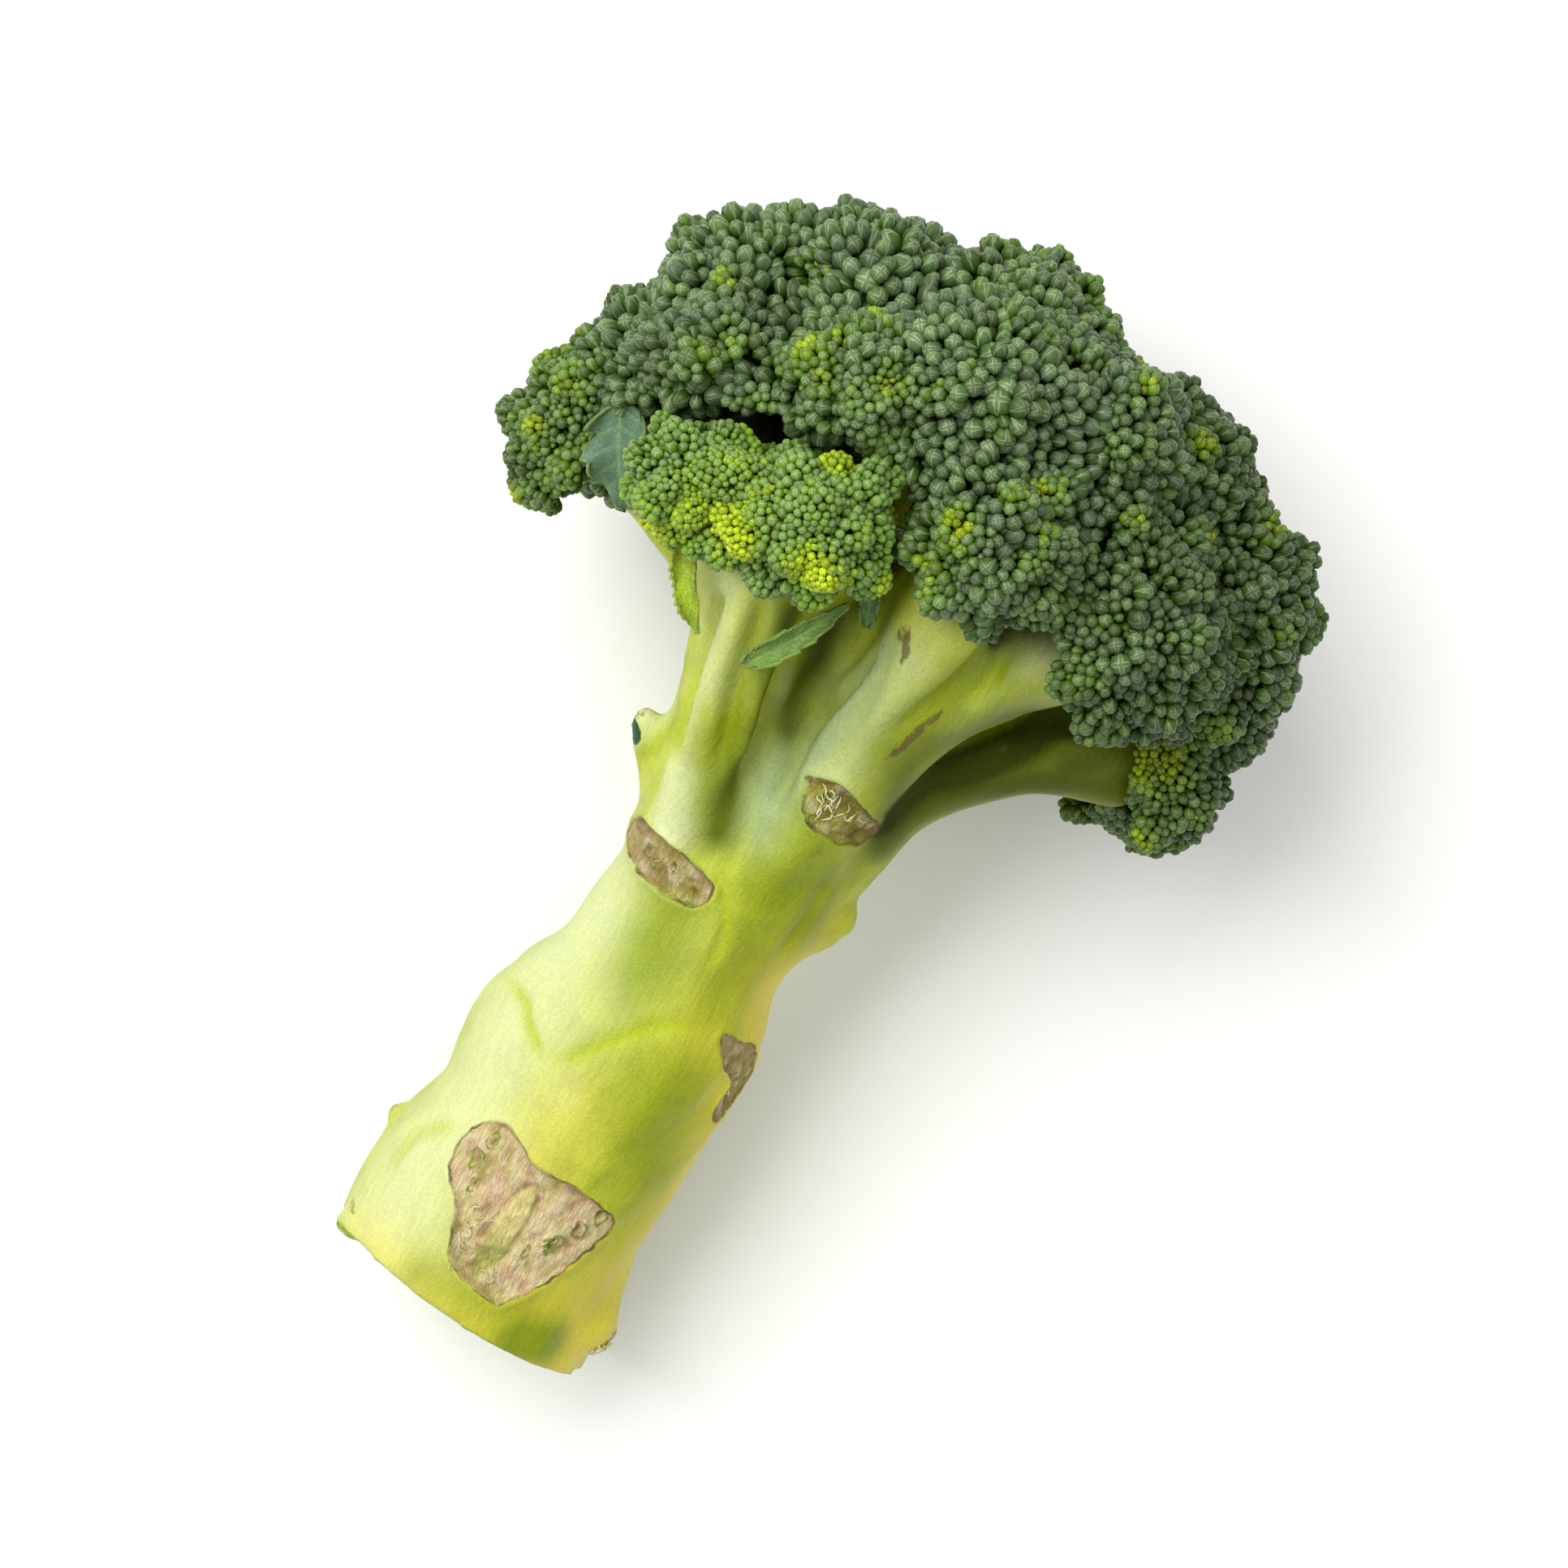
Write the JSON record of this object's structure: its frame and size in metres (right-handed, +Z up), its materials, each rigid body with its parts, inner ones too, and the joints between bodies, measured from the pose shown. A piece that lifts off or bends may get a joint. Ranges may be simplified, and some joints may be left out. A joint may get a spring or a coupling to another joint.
{
  "type": "broccoli head",
  "caption": "Broccoli head lying on its side: a thick fluted stalk, cut straight at its end, branches into a domed crown of flower-bud florets with small leaves between.",
  "frame": {"origin": "on the surface that the head lies on, under the middle of its bounding box", "axes": "+X along the stalk from the cut end to the top of the crown, +Z up, +Y to the left of the stalk when looking from the cut end towards the crown"},
  "size_m": [0.1759, 0.118, 0.0942],
  "materials": {
    "stalk_skin": "pale green waxy skin, slightly glossy",
    "flower_buds": "matt grey-green waxy buds, yellower where they are young",
    "leaf_blade": "blue-green waxy leaf with pale veins"
  },
  "bodies": {
    "root": {"stalk": "stalk_skin", "floret_back": "flower_buds", "floret_back_left": "flower_buds", "floret_back_right": "flower_buds", "floret_bottom": "flower_buds", "floret_bottom_left": "flower_buds", "floret_bottom_right": "flower_buds", "floret_centre": "flower_buds", "floret_front_left": "flower_buds", "floret_front_left_outer": "flower_buds", "floret_front_outer": "flower_buds", "floret_front_right": "flower_buds", "floret_left": "flower_buds", "floret_left_front": "flower_buds", "floret_left_inner": "flower_buds", "floret_low_left": "flower_buds", "floret_low_right": "flower_buds", "floret_lower_right": "flower_buds", "floret_right": "flower_buds", "floret_right_behind": "flower_buds", "floret_right_rim": "flower_buds", "floret_right_upper": "flower_buds", "floret_top": "flower_buds", "floret_top_back": "flower_buds", "floret_top_back_left": "flower_buds", "floret_top_front": "flower_buds", "floret_top_left": "flower_buds", "floret_upper_left": "flower_buds", "floret_upper_right": "flower_buds", "leaf_curled": "leaf_blade", "leaf_left": "leaf_blade", "leaf_low_left": "leaf_blade", "leaf_low_right": "leaf_blade", "leaf_middle": "leaf_blade", "leaf_shade": "leaf_blade"}
  },
  "joints": []
}
